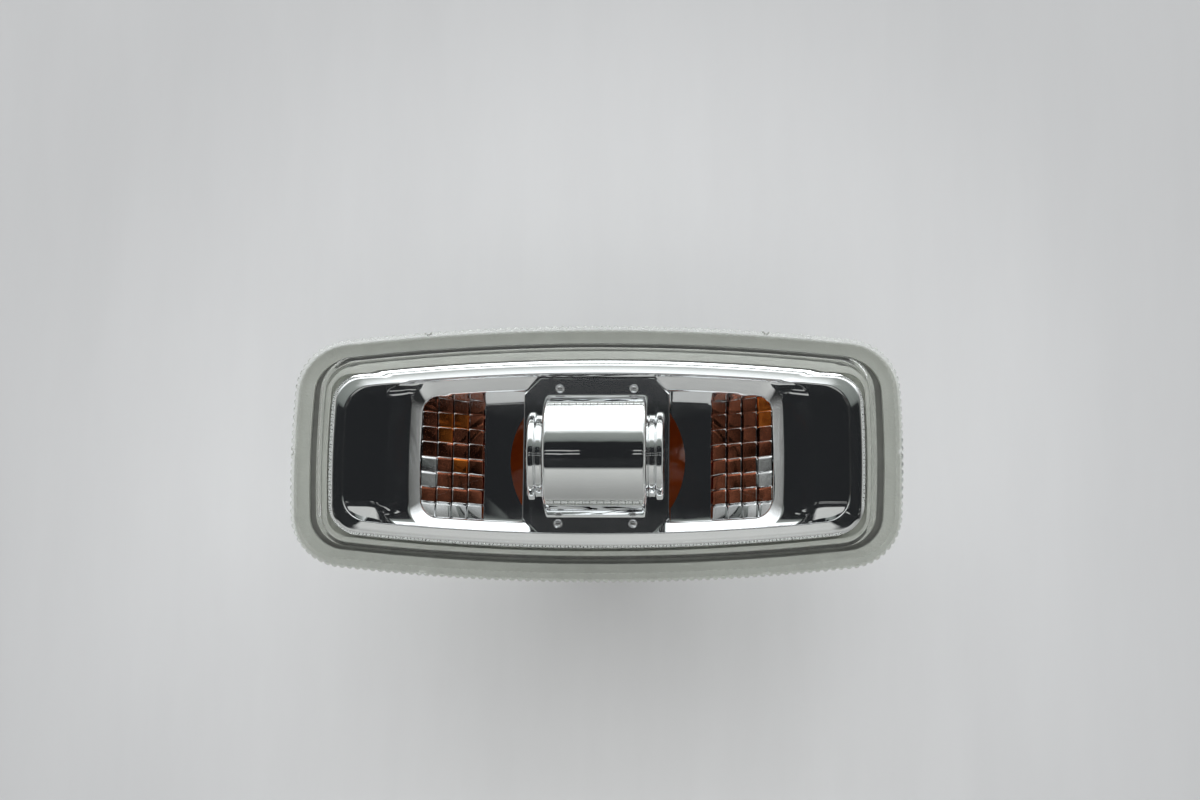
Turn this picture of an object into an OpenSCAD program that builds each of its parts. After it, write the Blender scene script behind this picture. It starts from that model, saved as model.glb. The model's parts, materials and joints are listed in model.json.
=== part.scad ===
// Side marker lamp, lying lens up on its panel seat.
// X runs along the lamp, Y across it, Z out of the lens. The panel seat is at z = 0.

/* [Rim] */
// Length of the lens rim over its flat wall
rim_len = 99.4; // [94:0.2:110]
// Height of the lens rim at the middle
rim_h = 42; // [40:0.2:50]
// Radius of the bow along the two long sides
long_bow_r = 366; // [250:2:600]
// Radius of the bow across the two ends
end_bow_r = 180; // [120:2:400]
// Corner radius of the rim
corner_r = 8.7; // [8:0.1:11]
// Thickness of the lens flange
flange_t = 2.4; // [2:0.1:3.4]
// Width of the bevel round the front of the flange
bevel_w = 1.2; // [0.8:0.1:1.6]
// Drop of that bevel
bevel_drop = 0.8; // [0.4:0.1:1.2]
// Pitch of the small teeth round the rim
tooth_pitch = 1.26; // [1.1:0.02:2]
// How far the teeth stand out
tooth_h = 0.3; // [0.2:0.05:0.5]
// Distance of the rim notches from the middle
notch_x = 27.8; // [20:0.2:34]
// Radius of the rim notches
notch_r = 0.7; // [0.4:0.1:1]

/* [Lens] */
// Width of the flat flange at the two ends
flange_end = 4.2; // [4:0.1:5]
// Width of the flat flange along the two long sides
flange_side = 3; // [2.8:0.1:4]
// Height of the steep wall at the foot of the crown
lens_wall_h = 2; // [1.4:0.1:3]
// Height of the crown over the flange
crown_h = 6.5; // [6.2:0.1:9]
// Thickness of the crown
lens_t = 1.7; // [1.4:0.1:2]
// Width of the tongue that seats the lens
tongue_w = 1; // [0.8:0.1:1.2]
// Depth of that tongue
tongue_h = 1; // [0.6:0.1:1.2]

/* [Reflector] */
// Wall of the reflector moulding
mirror_wall = 1.6; // [1.2:0.1:2]
// Drop from the flange front to the reflector's rolled edge
mirror_drop = 2.7; // [2.4:0.1:2.9]
// Width of the rolled band along the long sides of the reflector
side_band = 2.35; // [2.2:0.05:2.6]
// Width of the sloped band round the recess
slope_w = 2; // [1.8:0.1:2.2]
// Half length over the bright recess between the two grids
recess_x = 28.8; // [28.4:0.1:30]
// Depth from the flange front to the end lands
land_depth = 1.9; // [1.6:0.1:2.4]
// Depth from the flange front to the top of the sloped band
slope_depth = 2.6; // [2.4:0.1:3]
// Depth from the flange front to the foot of the sloped band
ledge_depth = 3.9; // [3.6:0.1:4.4]
// Depth from the flange front to the floor of the recess
floor_depth = 8.4; // [8:0.1:9]
// Half length over the bowl ends, where the lands stop
bowl_end_x = 36.2; // [35:0.1:37]
// Size of one square facet
facet_pitch = 2.5; // [2.4:0.02:2.54]
// Facet columns on each side
facet_columns = 4; // [3:1:4]
// Rise of each facet column over the one inside it
facet_rise = 0.8; // [0:0.1:0.9]
// Radius of the round bowl at the bulb
bowl_r = 14.5; // [13.8:0.1:15]
// Radius of the bulb hole at the bottom of the bowl
bulb_hole_r = 6.4; // [6:0.1:7]

/* [Bulb shield] */
// Room between the barrel and the side of the recess
barrel_room = 0.6; // [0.5:0.1:1.2]
// Room between the barrel and the inside of the crown
crown_room = 0.6; // [0.5:0.1:1]
// Length of the full-size barrel
barrel_len = 16.8; // [15:0.2:17.4]
// Length over both end collars
shield_len = 22.6; // [22:0.2:23]
// Radius of the end collars
collar_r = 7.7; // [7:0.1:8.2]
// Wall of the shield
shield_t = 1.1; // [0.8:0.1:1.3]
// Half length of the eight-sided foot plate
foot_x = 12; // [11.8:0.1:12.4]
// Room round the foot plate in its seat
foot_room = 0.1; // [0.05:0.05:0.2]
// Corner cut of the foot plate
foot_cut = 2.6; // [2:0.1:3]
// Distance of the rivets from the middle along the lamp
rivet_x = 6.1; // [5:0.1:8]
// Radius of a rivet shank
rivet_r = 0.45; // [0.4:0.05:0.5]
// Radius of a rivet head
rivet_head_r = 0.75; // [0.6:0.05:0.8]

/* [Housing] */
// Thickness of the housing flange
housing_flange_t = 2.2; // [2:0.1:3]
// Wall of the housing tub
tub_wall = 1.6; // [1.4:0.1:2]
// Depth of the tub behind the panel seat
tub_depth = 8.5; // [8.2:0.1:11]
// Room between the tub and the edge of the panel cut-out
cutout_gap = 0.5; // [0.4:0.1:0.7]
// Thickness of the panel that the lamp clips into
panel_t = 2.5; // [2.2:0.1:3]
// Thickness of the panel gasket
gasket_t = 1.5; // [1:0.1:2.5]
// Width of the fixed hook
hook_w = 12; // [8:0.5:14]
// Reach of the fixed hook past the tub
hook_reach = 3.4; // [2.6:0.1:4]
// Outer radius of the neck for the bulb holder
neck_r = 14; // [13.8:0.1:14.4]
// Distance of the vent from the middle
vent_x = 27; // [22:0.5:30]
// Outer radius of the vent spigot
vent_r = 3; // [2.6:0.1:3.6]
// Length of the vent spigot
vent_len = 5; // [4.6:0.2:6]
// Wall of the vent spigot
vent_wall = 1; // [0.8:0.1:1.2]
// Wall of the vent cap
cap_wall = 1.3; // [1:0.1:1.6]

/* [Spring clip] */
// Width of the spring strip
clip_w = 9; // [6:0.5:12]
// Thickness of the spring strip
clip_t = 0.6; // [0.4:0.1:0.8]
// Radius of the clip screw
screw_r = 1.3; // [1.1:0.1:1.5]

/* [Bulb and holder] */
// Radius of the bulb glass
bulb_r = 5.15; // [4.8:0.05:5.3]
// Length of the bulb
bulb_len = 26.8; // [26:0.2:27.4]
// Height of the flat wedge base
wedge_h = 9; // [8:0.2:9.6]
// Width of the wedge base
wedge_w = 9.6; // [9:0.1:10]
// Thickness of the wedge base
wedge_t = 2.4; // [2:0.1:2.6]
// Depth from the flange front to the filament
filament_depth = 7.4; // [7:0.1:8]
// Distance from the filament to the tip of the bulb
filament_to_tip = 8.4; // [8:0.1:9]
// Radius of the holder plug
plug_r = 9; // [8.8:0.1:9.2]
// Thickness of the holder flange
holder_flange_t = 1.6; // [1.4:0.1:2]
// Length of the connector shroud
shroud_len = 9.4; // [9:0.2:11]
// Length of the connector shroud's mouth along X
shroud_x = 12.4; // [11.6:0.2:13]
// Width of the connector shroud's mouth along Y
shroud_y = 7; // [6.6:0.2:7.6]
// Wall of the connector shroud
shroud_wall = 1.2; // [1:0.1:1.4]
// Width of a contact blade
blade_w = 2.8; // [2.6:0.1:3]
// Thickness of a contact blade
blade_t = 0.8; // [0.6:0.1:0.8]
// Distance of each contact from the middle
contact_x = 2.9; // [2.6:0.1:3]

/* [Hidden] */
$fn = 64;
eps = 0.01;
skin = 0.04;
fit = 0.2;
loose = 0.05;
through = 60;

// Heights, from the panel seat at zero
housing_top = gasket_t + housing_flange_t;
front_z = housing_top + flange_t;
bevel_z = front_z - bevel_drop;
land_z = front_z - land_depth;
ledge_z = front_z - ledge_depth;
floor_z = front_z - floor_depth;
slope_z = front_z - slope_depth;
mirror_top = front_z - mirror_drop;
crest_z = land_z + 0.3;
filament_z = front_z - filament_depth;
tub_bottom = -tub_depth;
tub_floor = tub_bottom + 2;

// Half sizes of the rings round the lamp
half_x = rim_len / 2;
half_y = rim_h / 2;
crown_x = half_x - flange_end;
crown_y = half_y - flange_side;
lens_inset = 1;
mirror_x = crown_x - lens_inset - 0.7;
mirror_y = crown_y - lens_inset - 1.55;
crest_inset = 1.9;
bowl_in_x = recess_x + slope_w;
bowl_in_y = mirror_y - side_band;
recess_y = bowl_in_y - slope_w;
recess_foot_y = recess_y - 0.8;
facet_rows = 2 * floor(recess_foot_y / facet_pitch);
pocket_gap = 0.3;
housing_inset = 0.5;
groove_inset = 2.7;
groove_w = tongue_w + 2 * fit;
mirror_back_y = bowl_in_y + 0.75 * mirror_wall;
tub_x = mirror_x + 0.4;
tub_y = mirror_back_y + 0.4 + tub_wall;
gasket_inset = 1.4;
clip_z = tub_bottom + 2.9;
boss_reach = 1.2;

// Bowl curve, a parabola with the filament at its focus
focus_rise = filament_z - floor_z;
bowl_four_f = 2 * (focus_rise + sqrt(focus_rise * focus_rise + bowl_r * bowl_r));
bowl_vertex = filament_z - bowl_four_f / 4;
bowl_steps = 10;

// Barrel and foot plate of the shield
barrel_r = recess_y - barrel_room;
barrel_z = front_z + crown_h - lens_t - crown_room - barrel_r;
foot_y = bowl_in_y - foot_room;
seat_shank = 1.6;

// Bulb and holder heights
bulb_tip = filament_z + filament_to_tip;
bulb_end = bulb_tip - bulb_len;
wedge_top = bulb_end + wedge_h;
glass_wall = 0.6;
bowl_bottom = bowl_vertex + pow(bulb_hole_r, 2) / bowl_four_f;
plug_top = bowl_bottom - mirror_wall - 0.4;
seal_t = 0.8;
lug_t = 1.6;
neck_floor_t = 1.8;
neck_bottom = plug_top - lug_t - fit - neck_floor_t;
lug_reach = 1.5;
holder_back = neck_bottom - seal_t - holder_flange_t;
partition_z = bulb_end - 0.9;
partition_t = 1.6;
shroud_top = partition_z - partition_t;
shroud_end = shroud_top - shroud_len;
blade_recess = 4.6;
blade_end = shroud_end + blade_recess;
leaf_t = 0.4;
wire_r = 0.25;

// A point on a circle
function on_circle(c, r, a) = c + r * [cos(a), sin(a)];

// The crossing of two circles that lies to the upper right
function crossing(p, rp, q, rq) =
  let (gap = norm(q - p), along = (rp * rp - rq * rq + gap * gap) / (2 * gap))
  let (side = sqrt(rp * rp - along * along), u = (q - p) / gap)
  let (a = p + along * u + side * [-u[1], u[0]], b = p + along * u - side * [-u[1], u[0]])
  a[0] + a[1] > b[0] + b[1] ? a : b;

// The three arcs of a quarter outline: centre, radius, first and last angle
function quarter_arcs(hx, hy, rc) =
  let (side = [hx - end_bow_r, 0], top = [0, hy - long_bow_r])
  let (c = crossing(side, end_bow_r - rc, top, long_bow_r - rc))
  let (a = atan2(c[1] - side[1], c[0] - side[0]), b = atan2(c[1] - top[1], c[0] - top[0]))
  [[side, end_bow_r, 0, a], [c, rc, a, b], [top, long_bow_r, b, 90]];

// A quarter outline, without its last point
function quarter(hx, hy, rc, steps) =
  let (arcs = quarter_arcs(hx, hy, rc))
  [for (k = [0:2]) for (i = [0:steps[k] - 1])
    let (s = arcs[k], a = s[2] + (s[3] - s[2]) * i / steps[k])
    on_circle(s[0], s[1], a)];

// A whole outline, the quarter carried round all four sides
function outline(hx, hy, rc) =
  let (q = concat(quarter(hx, hy, rc, [3, 9, 6]), [[0, hy]]))
  concat(
    q,
    [for (i = [len(q) - 2:-1:0]) [-q[i][0], q[i][1]]],
    [for (i = [1:len(q) - 1]) [-q[i][0], -q[i][1]]],
    [for (i = [len(q) - 2:-1:1]) [q[i][0], -q[i][1]]]
  );

// The teeth along one arc, each a small flat-topped rib
function toothed_arc(s) =
  let (length = s[1] * abs(s[3] - s[2]) * PI / 180, n = max(1, round(length / tooth_pitch)))
  let (step = (s[3] - s[2]) / n)
  [for (i = [0:n - 1]) for (p = [[0.2, 0], [0.38, 1], [0.62, 1], [0.8, 0]])
    on_circle(s[0], s[1] + tooth_h * p[1], s[2] + (i + p[0]) * step)];

function toothed_quarter(hx, hy, rc) =
  [for (s = quarter_arcs(hx, hy, rc)) each toothed_arc(s)];

function toothed_outline(hx, hy, rc) =
  let (q = toothed_quarter(hx, hy, rc), n = len(q))
  concat(
    q,
    [for (i = [n - 1:-1:0]) [-q[i][0], q[i][1]]],
    [for (i = [0:n - 1]) [-q[i][0], -q[i][1]]],
    [for (i = [n - 1:-1:0]) [q[i][0], -q[i][1]]]
  );

// The corner radius of a ring that lies a given distance inside the rim
function inner_r(inset) = max(corner_r - inset, 2);

module ring_face(hx, hy, rc) {
  polygon(outline(hx, hy, rc));
}

module inset_face(inset) {
  ring_face(half_x - inset, half_y - inset, inner_r(inset));
}

module slab(z, t) {
  translate([0, 0, z]) linear_extrude(t) children();
}

module inset_ring(z, t, outer, inner) {
  slab(z, t) difference() {
    inset_face(outer);
    inset_face(inner);
  }
}

// A closed form through thin rings, lowest first: half length, half height, corner radius, height
module ring_loft(rings) {
  hull() for (i = [0:len(rings) - 1])
    slab(rings[i][3] - (i == 0 ? 0 : skin), skin) ring_face(rings[i][0], rings[i][1], rings[i][2]);
}

// The crown: a steep wall, then a dome that falls away to all sides
function dome_rings(inset, drop, count) =
  let (hx = crown_x - 1.6 - inset, hy = crown_y - 1.6 - inset)
  let (rc = inner_r((half_x - hx + half_y - hy) / 2))
  [for (i = [0:count])
    let (t = 0.9 * i / count, s = 1 - t)
    [hx * s, hy * s, rc * s, front_z + lens_wall_h - drop + (crown_h - lens_wall_h) * (1 - s * s)]];

function wall_ring(inset, z) =
  [crown_x - inset, crown_y - inset, inner_r(flange_side + inset), z];

module crown_form(inset, drop, foot_z) {
  ring_loft(concat(
    [
      wall_ring(inset, foot_z),
      wall_ring(inset + 0.5, front_z + lens_wall_h * 0.6 - drop)
    ],
    dome_rings(inset, drop, 6)
  ));
}

module rim_notches() {
  for (sx = [-1, 1]) for (sy = [-1, 1])
    translate([sx * notch_x, sy * (half_y - notch_x * notch_x / (2 * long_bow_r)), bevel_z])
      cylinder(r = notch_r, h = flange_t, $fn = 24);
  for (sx = [-1, 1]) translate([sx * half_x, 0, bevel_z])
    cylinder(r = notch_r, h = flange_t, $fn = 24);
}

module lens() {
  color("gainsboro", 0.4) difference() {
    union() {
      slab(housing_top, flange_t - bevel_drop)
        polygon(toothed_outline(half_x, half_y, corner_r));
      ring_loft([
        [half_x, half_y, corner_r, bevel_z],
        [half_x - bevel_w, half_y - bevel_w, inner_r(bevel_w), front_z]
      ]);
      inset_ring(housing_top - tongue_h, tongue_h + eps, groove_inset + fit,
        groove_inset + fit + tongue_w);
      crown_form(0, 0, housing_top + flange_t / 2);
    }
    crown_form(lens_inset, lens_t, housing_top - tongue_h - 1);
    rim_notches();
  }
}

module lens_seal() {
  color("lightgrey")
    inset_ring(housing_top - tongue_h - 0.4, 0.4, groove_inset, groove_inset + groove_w);
}

// Facets: each one is turned so that it sends the filament's light straight out of the lens
function facet_normal(p) =
  let (to_bulb = [-p[0], -p[1], filament_z - p[2]])
  let (n = to_bulb / norm(to_bulb) + [0, 0, 1])
  n / norm(n);

module facet(x, y, z) {
  n = facet_normal([x, y, z]);
  intersection() {
    translate([x - facet_pitch / 2, y - facet_pitch / 2, floor_z - mirror_wall / 2])
      cube([facet_pitch, facet_pitch, facet_pitch * 2 + facet_columns * facet_rise]);
    translate([x, y, z]) rotate([asin(-n[1]), atan2(n[0], n[2]), 0])
      translate([-through / 2, -through / 2, -through]) cube(through);
  }
}

module facet_grid(side) {
  x_last = recess_x - 0.1 - facet_pitch / 2;
  for (i = [0:facet_columns - 1]) for (j = [0:facet_rows - 1])
    facet(side * (x_last - i * facet_pitch), (j - (facet_rows - 1) / 2) * facet_pitch,
      floor_z + facet_pitch * 0.5 + (facet_columns - 1 - i) * facet_rise);
}

// Half profile of the bowl from the bulb hole out to its rim, then straight up
function bowl_curve(grow) =
  [for (i = [0:bowl_steps])
    let (r = bulb_hole_r + (bowl_r - bulb_hole_r) * i / bowl_steps)
    [r + grow, bowl_vertex + r * r / bowl_four_f - grow * 0.6]];

module bowl_hollow() {
  intersection() {
    rotate_extrude($fn = 96) polygon(concat(
      [[0, bowl_bottom]],
      bowl_curve(0),
      [[bowl_r, ledge_z - 1], [0, ledge_z - 1]]
    ));
    cube([through, 2 * recess_foot_y, through], center = true);
  }
  cylinder(r = bulb_hole_r, h = through, center = true);
}

module bowl_back() {
  intersection() {
    rotate_extrude($fn = 96) polygon(concat(
      [[0, bowl_bottom - mirror_wall], [bulb_hole_r + mirror_wall, bowl_bottom - mirror_wall]],
      bowl_curve(mirror_wall),
      [[0, floor_z]]
    ));
    cube([through, 2 * recess_foot_y + mirror_wall, through], center = true);
  }
}

// The sloping flanks between the bowl and the grids
module flanks() {
  flank_y = 5;
  for (s = [-1, 1]) rotate([90, 0, 90])
    linear_extrude(2 * (recess_x - facet_columns * facet_pitch - 0.1), center = true)
      polygon([
        [s * flank_y, floor_z - eps],
        [s * recess_foot_y, floor_z + 1.4],
        [s * recess_y, floor_z + 1.4],
        [s * recess_y, floor_z - eps]
      ]);
}

// Ledges that carry the foot plate of the shield
module shield_ledges() {
  inner_y = barrel_r - shield_t - 0.2;
  for (s = [-1, 1])
    translate([-foot_x, s > 0 ? inner_y : -foot_y - 0.8, floor_z])
      cube([2 * foot_x, foot_y + 0.8 - inner_y, ledge_z - shield_t - floor_z]);
}

module rivet_places() {
  for (sx = [-1, 1]) for (sy = [-1, 1])
    translate([sx * rivet_x, sy * (barrel_r + rivet_head_r), 0]) children();
}

module foot_face(grow) {
  x = foot_x + grow;
  y = foot_y + grow;
  polygon([
    [x, y - foot_cut], [x - foot_cut, y], [foot_cut - x, y], [-x, y - foot_cut],
    [-x, foot_cut - y], [foot_cut - x, -y], [x - foot_cut, -y], [x, foot_cut - y]
  ]);
}

module reflector_body() {
  back_z = land_z - mirror_wall;
  difference() {
    union() {
      slab(back_z, mirror_top - back_z) ring_face(mirror_x, mirror_y, inner_r(5.6));
      ring_loft([
        [mirror_x, mirror_y, inner_r(5.6), mirror_top - eps],
        [mirror_x - crest_inset, mirror_y - crest_inset, inner_r(7), crest_z]
      ]);
      ring_loft([
        [bowl_in_x + mirror_wall * 0.6, bowl_in_y + mirror_wall * 0.5, 4.6, ledge_z - mirror_wall],
        [bowl_end_x + mirror_wall * 0.6, mirror_back_y, 5, back_z + eps]
      ]);
      ring_loft([
        [recess_x + 0.8, recess_foot_y + mirror_wall * 0.6, 3, floor_z - mirror_wall],
        [recess_x + mirror_wall * 0.6, recess_y + mirror_wall * 0.6, 3.6, ledge_z - mirror_wall + eps]
      ]);
      bowl_back();
    }
    ring_loft([
      [mirror_x - crest_inset - 0.6, bowl_in_y + 0.1, inner_r(7), land_z],
      [mirror_x - crest_inset - 0.2, bowl_in_y + 0.25, inner_r(7), crest_z + eps]
    ]);
    ring_loft([
      [bowl_in_x, bowl_in_y, 4, slope_z],
      [bowl_end_x, bowl_in_y + 0.08, 5, land_z + eps]
    ]);
    ring_loft([
      [recess_x, recess_y, 3, ledge_z],
      [bowl_in_x, bowl_in_y, 4, slope_z + eps]
    ]);
    ring_loft([
      [recess_x - 0.2, recess_foot_y, 2.4, floor_z],
      [recess_x, recess_y, 3, ledge_z + eps]
    ]);
  }
}

module reflector() {
  color("silver") difference() {
    union() {
      reflector_body();
      flanks();
      shield_ledges();
      facet_grid(-1);
      facet_grid(1);
    }
    bowl_hollow();
    slab(ledge_z - shield_t, shield_t + crest_z) foot_face(foot_room);
    rivet_places() cylinder(r = rivet_r + 0.05, h = through, center = true, $fn = 24);
  }
}

module bulb_shield() {
  collar_x = shield_len / 2;
  barrel_x = barrel_len / 2;
  groove_r = collar_r - 0.5;
  color("lightsteelblue") difference() {
    union() {
      slab(ledge_z - shield_t, shield_t) foot_face(0);
      translate([0, 0, barrel_z]) rotate([0, 90, 0]) rotate_extrude($fn = 96) polygon([
        [0, -collar_x], [collar_r - 0.5, -collar_x], [collar_r, -collar_x + 0.4],
        [collar_r, -collar_x + 1.3], [groove_r, -collar_x + 1.6], [groove_r, -barrel_x - 0.3],
        [barrel_r - 0.5, -barrel_x - 0.1], [barrel_r, -barrel_x + 0.4],
        [barrel_r, barrel_x - 0.4], [barrel_r - 0.5, barrel_x + 0.1],
        [groove_r, barrel_x + 0.3], [groove_r, collar_x - 1.6], [collar_r, collar_x - 1.3],
        [collar_r, collar_x - 0.4], [collar_r - 0.5, collar_x], [0, collar_x]
      ]);
    }
    translate([0, 0, barrel_z]) rotate([0, 90, 0]) {
      cylinder(r = barrel_r - shield_t, h = barrel_len - 2 * shield_t, center = true, $fn = 96);
      cylinder(r = groove_r - shield_t, h = shield_len - 2 * shield_t, center = true, $fn = 96);
    }
    translate([-through / 2, -through / 2, ledge_z - shield_t - through]) cube(through);
    rivet_places() cylinder(r = rivet_r + 0.05, h = through, center = true, $fn = 24);
  }
}

module shield_rivets() {
  shank = shield_t + seat_shank;
  color("whitesmoke") rivet_places() {
    translate([0, 0, ledge_z - shank]) cylinder(r = rivet_r, h = shank + 0.1, $fn = 24);
    translate([0, 0, ledge_z]) intersection() {
      translate([0, 0, -rivet_head_r * 0.45]) sphere(r = rivet_head_r * 1.1, $fn = 24);
      cylinder(r = rivet_head_r, h = rivet_head_r, $fn = 24);
    }
  }
}

module lug_places() {
  for (a = [90, 210, 330]) rotate([0, 0, a]) children();
}

// Housing: flange with its sealing groove, tub, neck, hook, clip boss and vent spigot
module tub_outside() {
  ring_loft([
    [tub_x, tub_y, inner_r(5.8), gasket_t],
    [tub_x - 0.3, tub_y - 0.3, inner_r(6), tub_bottom + 1.4],
    [tub_x - 1.5, tub_y - 1.5, inner_r(6.6), tub_bottom]
  ]);
}

module tub_inside() {
  ring_loft([
    [tub_x - tub_wall, tub_y - tub_wall, inner_r(6.4), housing_top + 1],
    [tub_x - tub_wall - 0.3, tub_y - tub_wall - 0.3, inner_r(6.4), tub_floor + 1],
    [tub_x - tub_wall - 1.1, tub_y - tub_wall - 1.1, inner_r(6.7), tub_floor]
  ]);
}

module fixed_hook() {
  hook_top = -panel_t - 0.3;
  translate([0, hook_w / 2, 0]) rotate([90, 0, 0]) linear_extrude(hook_w) polygon([
    [1 - tub_x, hook_top],
    [-tub_x - hook_reach, hook_top],
    [-tub_x - hook_reach - 0.4, hook_top - 0.8],
    [-tub_x - hook_reach, hook_top - 1.8],
    [1.4 - tub_x, hook_top - 4.4]
  ]);
}

module clip_boss() {
  translate([tub_x - 1, -clip_w / 2 - 0.6, clip_z - 2.4])
    cube([boss_reach + 1, clip_w + 1.2, 4.6]);
  translate([tub_x - 4.5, 0, clip_z]) rotate([0, 90, 0]) cylinder(r = screw_r + 1.3, h = 4.6);
}

module back_ribs() {
  rib_t = 1.4;
  for (s = [-1, 1]) for (y = [-7, 7])
    translate([s > 0 ? neck_r - 1.4 : -tub_x + 6, y - rib_t / 2, tub_bottom - 1.6])
      cube([tub_x - neck_r - 4.6, rib_t, 1.7]);
}

module housing() {
  color("darkgrey") difference() {
    union() {
      slab(gasket_t, housing_flange_t) inset_face(housing_inset);
      tub_outside();
      translate([0, 0, neck_bottom]) cylinder(r = neck_r, h = tub_floor - neck_bottom, $fn = 96);
      fixed_hook();
      clip_boss();
      back_ribs();
      translate([vent_x, 0, tub_bottom - vent_len]) cylinder(r = vent_r, h = vent_len + 0.5, $fn = 48);
    }
    difference() {
      tub_inside();
      translate([tub_x - 4.5, 0, clip_z]) rotate([0, 90, 0])
        cylinder(r = screw_r + 1.3, h = 4.6);
    }
    slab(land_z - mirror_wall, housing_flange_t + 2)
      ring_face(mirror_x + pocket_gap, mirror_y + pocket_gap, inner_r(5.4));
    inset_ring(housing_top - tongue_h - 0.4, 3, groove_inset, groove_inset + groove_w);
    translate([0, 0, neck_bottom + neck_floor_t]) cylinder(r = neck_r - 1.6, h = through / 2, $fn = 96);
    cylinder(r = plug_r + fit, h = through, center = true, $fn = 96);
    lug_places() translate([0, -2.4, -through / 2])
      cube([plug_r + lug_reach + 0.3, 4.8, through]);
    translate([vent_x, 0, 0]) cylinder(r = vent_r - vent_wall, h = through, center = true, $fn = 48);
    translate([tub_x - 3.6, 0, clip_z]) rotate([0, 90, 0])
      cylinder(r = screw_r + 0.05, h = through, $fn = 32);
  }
}

// The gasket starts where the panel cut-out ends
module panel_gasket() {
  color("dimgray") slab(0, gasket_t) difference() {
    inset_face(gasket_inset);
    ring_face(tub_x + cutout_gap, tub_y + cutout_gap, inner_r(4.6));
  }
}

// A strip of even thickness on one side of a bent line
function strip(line, t) =
  let (n = len(line), d = [for (i = [0:n - 2]) (line[i + 1] - line[i]) / norm(line[i + 1] - line[i])])
  let (side = [for (i = [0:n - 1])
    let (a = d[max(i - 1, 0)], b = d[min(i, n - 2)], m = [-(a[1] + b[1]), a[0] + b[0]])
    line[i] + t * m / (m * [-a[1], a[0]])])
  concat(line, [for (i = [n - 1:-1:0]) side[i]]);

module spring_clip() {
  x = tub_x + boss_reach;
  color("lightslategray") difference() {
    translate([0, clip_w / 2, 0]) rotate([90, 0, 0]) linear_extrude(clip_w)
      polygon(strip([
        [x + clip_t, clip_z + 2.2], [x + clip_t, clip_z - 3.2], [x + 1.1, clip_z - 4],
        [x + 1.9, clip_z - 3.6], [x + 3.4, clip_z + 0.4], [x + 3.3, clip_z + 1.2],
        [x + 1.9, -panel_t - 0.4]
      ], -clip_t));
    translate([x - 1, 0, clip_z]) rotate([0, 90, 0]) cylinder(r = screw_r + 0.15, h = 2, $fn = 32);
    translate([x + 2, 0, clip_z]) rotate([0, 90, 0]) cylinder(r = screw_r + 1.5, h = 6, $fn = 32);
  }
}

module clip_screw() {
  x = tub_x + boss_reach + clip_t;
  color("slategray") difference() {
    union() {
      translate([x - 4.4, 0, clip_z]) rotate([0, 90, 0]) cylinder(r = screw_r, h = 4.4 + eps, $fn = 32);
      translate([x, 0, clip_z]) rotate([0, 90, 0]) cylinder(r = screw_r + 1, h = 1.1, $fn = 32);
    }
    translate([x + 1.1 - 0.6, -0.3, clip_z - 1.4]) cube([1, 0.6, 2.8]);
    translate([x + 1.1 - 0.6, -1.4, clip_z - 0.3]) cube([1, 2.8, 0.6]);
  }
}

module vent_filter() {
  color("ivory") translate([vent_x, 0, tub_bottom - vent_len * 0.88])
    cylinder(r = vent_r - vent_wall - loose, h = vent_len * 0.6, $fn = 48);
}

module vent_cap() {
  cap_r = vent_r + cap_wall;
  spigot_end = tub_bottom - vent_len - loose;
  slot_h = 0.7;
  slot_w = 1.2;
  cap_bottom = spigot_end - slot_h - cap_wall * 0.65;
  color("black") difference() {
    translate([vent_x, 0, cap_bottom]) cylinder(r = cap_r, h = vent_len * 1.12, $fn = 48);
    translate([vent_x, 0, spigot_end]) cylinder(r = vent_r + loose, h = vent_len + slot_h, $fn = 48);
    translate([vent_x, 0, spigot_end - slot_h]) cylinder(r = vent_r * 0.73, h = vent_len, $fn = 48);
    translate([vent_x, 0, 0]) for (a = [0, 120, 240]) rotate([0, 0, a])
      translate([0, -slot_w / 2, spigot_end - slot_h]) cube([cap_r + slot_w, slot_w, slot_h + loose]);
  }
}

// Holder: plug with three lugs, flange with two finger grips, pocket for the wedge and a shroud
module rounded_block(x, y, r) {
  polygon([for (q = [0:3]) for (i = [0:4])
    let (a = 90 * q + 90 * i / 4, sx = q == 0 || q == 3 ? 1 : -1, sy = q < 2 ? 1 : -1)
    [sx * (x / 2 - r) + r * cos(a), sy * (y / 2 - r) + r * sin(a)]]);
}

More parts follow.
